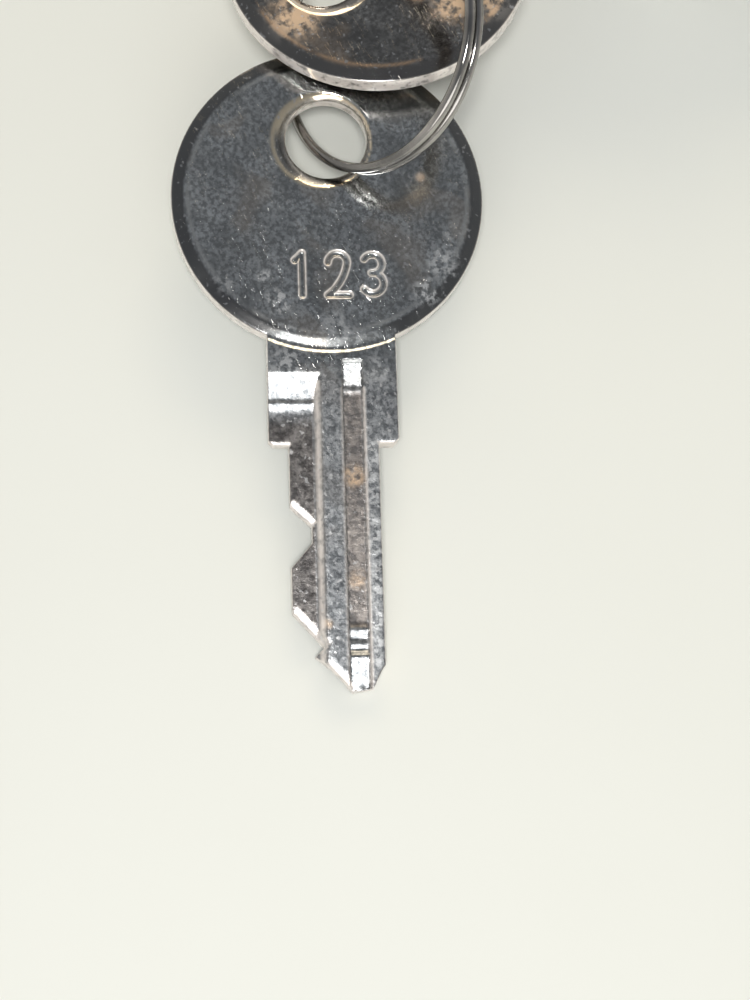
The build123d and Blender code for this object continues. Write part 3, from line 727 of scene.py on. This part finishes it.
FINISH = {
    "housing": zinc,
    "face_cap": chrome,
    "plug": plug_zinc,
    "retainer_wafer": brass,
    "retainer_spring": spring_wire,
    "lock_washer": plated,
    "mounting_nut": plated,
    "stop_washer": plated,
    "cam": plated,
    "cam_washer": plated,
    "cam_screw": plated,
    "key_working": working_metal,
    "key_spare": spare_metal,
    "split_ring": ring_metal,
}
BEVEL = {"housing": 0.12, "face_cap": 0.1, "plug": 0.1, "cam": 0.25, "mounting_nut": 0.12, "cam_screw": 0.1}
for node_name, node in nodes.items():
    finish = FINISH.get(node_name) or (spring_wire if "spring" in node_name else brass)
    node.data.materials.clear()
    node.data.materials.append(finish)
    if "spring" not in node_name:
        weld = node.modifiers.new("weld", "WELD")
        weld.merge_threshold = 1e-6
        bevel = node.modifiers.new("bevel", "BEVEL")
        bevel.width = BEVEL.get(node_name, 0.08) * MM
        bevel.segments = 2
        bevel.limit_method = "ANGLE"
        bevel.angle_limit = math.radians(35)
        bevel.harden_normals = False
        bevel.use_clamp_overlap = True
        smoother = node.modifiers.new("normals", "WEIGHTED_NORMAL")
        smoother.keep_sharp = True


# ---------------------------------------------------------------- keys and ring in their places
def new_object(name, mesh, finish, body, replaced):
    """A new visual piece that rides on a body and stands in for a CAD node."""
    obj = bpy.data.objects.new(name, mesh)
    bpy.context.scene.collection.objects.link(obj)
    mesh.materials.append(finish)
    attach(obj, body)
    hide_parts(replaced)


# Patches on the keys' front faces, as painted warm reflections on the working key and stains and scuffing on
# the spare: x, y, radius and strength
WORKING_REFLECTIONS = ((2.9, -8.6, 2.1, 0.9), (7.5, 2.6, 1.5, 1.0), (8.8, 5.6, 1.6, 0.8), (5.4, 0.6, 0.8, 0.7))
SPARE_STAINS = (
    (-7.2, -1.6, 0.42, 0.55), (-1.5, 21.8, 0.8, 0.9), (-1.5, 29.6, 0.7, 0.5), (0.9, 33.0, 0.4, 0.6),
)
SPARE_SCUFFS = (
    (3.9, 8.3, 1.1, 0.9), (4.9, 6.4, 0.6, 0.8), (-8.7, 5.4, 1.2, 0.8), (-7.4, 7.6, 1.1, 0.9),
    (-9.6, 3.0, 0.7, 0.6), (8.0, 6.8, 0.9, 0.5), (-0.5, 10.4, 1.6, 0.5),
    (3.2, 13.2, 1.5, 0.8), (-3.6, 13.6, 1.2, 0.6),
    *[(-2.95, 19.8 + 0.8 * k, 0.62, 0.75) for k in range(21)],
)
# Bow centres in millimetres from the panel seat on the lock's axis, with heights from the table
WORKING_PLACE = (0.0, -22.93, 9.5)
SPARE_PLACE = (15.575, -35.224, 5.168)
SPARE_HEADING = -115.355
SPARE_PITCH = -6.162
SPARE_ROLL = -5.138

blank = key_mesh("working_key_mesh")
spare_mesh = blank.copy()
# Painted warm reflections on the working key
add_spots(blank, "stain_and_reflection", WORKING_REFLECTIONS)
add_spots(blank, "scuff", ())
add_spots(spare_mesh, "stain_and_reflection", SPARE_STAINS)
add_spots(spare_mesh, "scuff", SPARE_SCUFFS)
lock_place = Vector((AXIS_X, SEAT_Y, 0))
spare_turn = Matrix.Rotation(math.radians(SPARE_HEADING), 4, "Z")
spare_turn = spare_turn @ Matrix.Rotation(math.radians(SPARE_PITCH), 4, "X")
spare_turn = spare_turn @ Matrix.Rotation(math.radians(SPARE_ROLL), 4, "Y")
blank.transform(Matrix.Translation(lock_place + Vector(WORKING_PLACE) * MM))
spare_mesh.transform(Matrix.Translation(lock_place + Vector(SPARE_PLACE) * MM) @ spare_turn)
new_object("working_key_blank", blank, working_metal, "working_key", "key_working")
new_object("spare_key_blank", spare_mesh, spare_metal, "spare_key", "key_spare")
new_object("ring_wire_coil", ring_mesh("ring_mesh"), ring_metal, "ring", "split_ring")


# ---------------------------------------------------------------- table, lights and camera
def floor_material():
    """Pale smooth table top with faint clouding."""
    mat, ns, ls, shader = material("table")
    cloud = noise(ns, ls, 14.0, 3.0)
    tone = ramp(ns, ls, cloud, ((0.3, (0.785, 0.80, 0.755)), (0.7, (0.81, 0.825, 0.785))))
    ls.new(tone, shader.inputs["Base Color"])
    shader.inputs["Roughness"].default_value = 0.6
    ls.new(bump(ns, ls, noise(ns, ls, 500.0, 3.0), 4e-6), shader.inputs["Normal"])
    return mat


FLOOR_SIZE = 2.4
FLOOR_PLACE = (0.02, -0.02, -0.00005)
bm = bmesh.new()
bmesh.ops.create_grid(bm, x_segments=8, y_segments=8, size=FLOOR_SIZE / 2)
floor_mesh = bpy.data.meshes.new("floor")
bm.to_mesh(floor_mesh)
bm.free()
floor = bpy.data.objects.new("floor", floor_mesh)
floor.location = FLOOR_PLACE
bpy.context.scene.collection.objects.link(floor)
floor_mesh.materials.append(floor_material())

VIEW_POINT = Vector((0.018026, -0.029704, 0.0))
CAMERA_PLACE = Vector((0.058505, -0.050389, 0.145664))
UP_ON_TABLE = Vector((-0.8905, 0.4551, 0.0))
RIGHT_ON_TABLE = Vector((0.4551, 0.8905, 0.0))
LENS = 72.0


def area_light(name, towards, height_angle, distance, size, power, colour=(1, 1, 1)):
    """Soft rectangular light; towards is a level direction from the keys, height_angle is in degrees."""
    data = bpy.data.lights.new(name, "AREA")
    data.shape = "RECTANGLE"
    data.size, data.size_y = size
    data.energy = power
    data.color = colour
    obj = bpy.data.objects.new(name, data)
    level = towards.normalized() * math.cos(math.radians(height_angle))
    place = VIEW_POINT + (level + Vector((0, 0, math.sin(math.radians(height_angle))))) * distance
    obj.location = place
    obj.rotation_euler = (VIEW_POINT - place).to_track_quat("-Z", "Y").to_euler()
    bpy.context.scene.collection.objects.link(obj)


area_light("lamp", -UP_ON_TABLE, 70, 0.36, (0.07, 0.05), 0.70, (1.0, 0.99, 0.96))
area_light("window", -UP_ON_TABLE, 32, 0.9, (0.8, 0.4), 2.0, (1.0, 0.985, 0.95))
area_light("warm_wall", UP_ON_TABLE + RIGHT_ON_TABLE * 0.1, 34, 0.9, (0.5, 0.3), 1.7, (1.0, 0.84, 0.60))

world = bpy.data.worlds.new("room")
bpy.context.scene.world = world
world.use_nodes = True
wn, wl = world.node_tree.nodes, world.node_tree.links
background = wn["Background"]
sky_coords = wn.new("ShaderNodeTexCoord")
sky_split = wn.new("ShaderNodeSeparateXYZ")
wl.new(sky_coords.outputs["Generated"], sky_split.inputs["Vector"])
SKY = (
    (0.0, (0.66, 0.64, 0.60)), (0.40, (0.52, 0.51, 0.49)),
    (0.75, (0.26, 0.27, 0.275)), (1.0, (0.19, 0.20, 0.215)),
)
room = ramp(wn, wl, sky_split.outputs["Z"], SKY)
wl.new(room, background.inputs["Color"])
background.inputs["Strength"].default_value = 1.0

camera_data = bpy.data.cameras.new("camera")
camera_data.lens = LENS
camera = bpy.data.objects.new("camera", camera_data)
camera.location = CAMERA_PLACE
camera.rotation_euler = (VIEW_POINT - CAMERA_PLACE).to_track_quat("-Z", "Y").to_euler()
bpy.context.scene.collection.objects.link(camera)
bpy.context.scene.camera = camera
bpy.context.scene.view_settings.view_transform = "Standard"
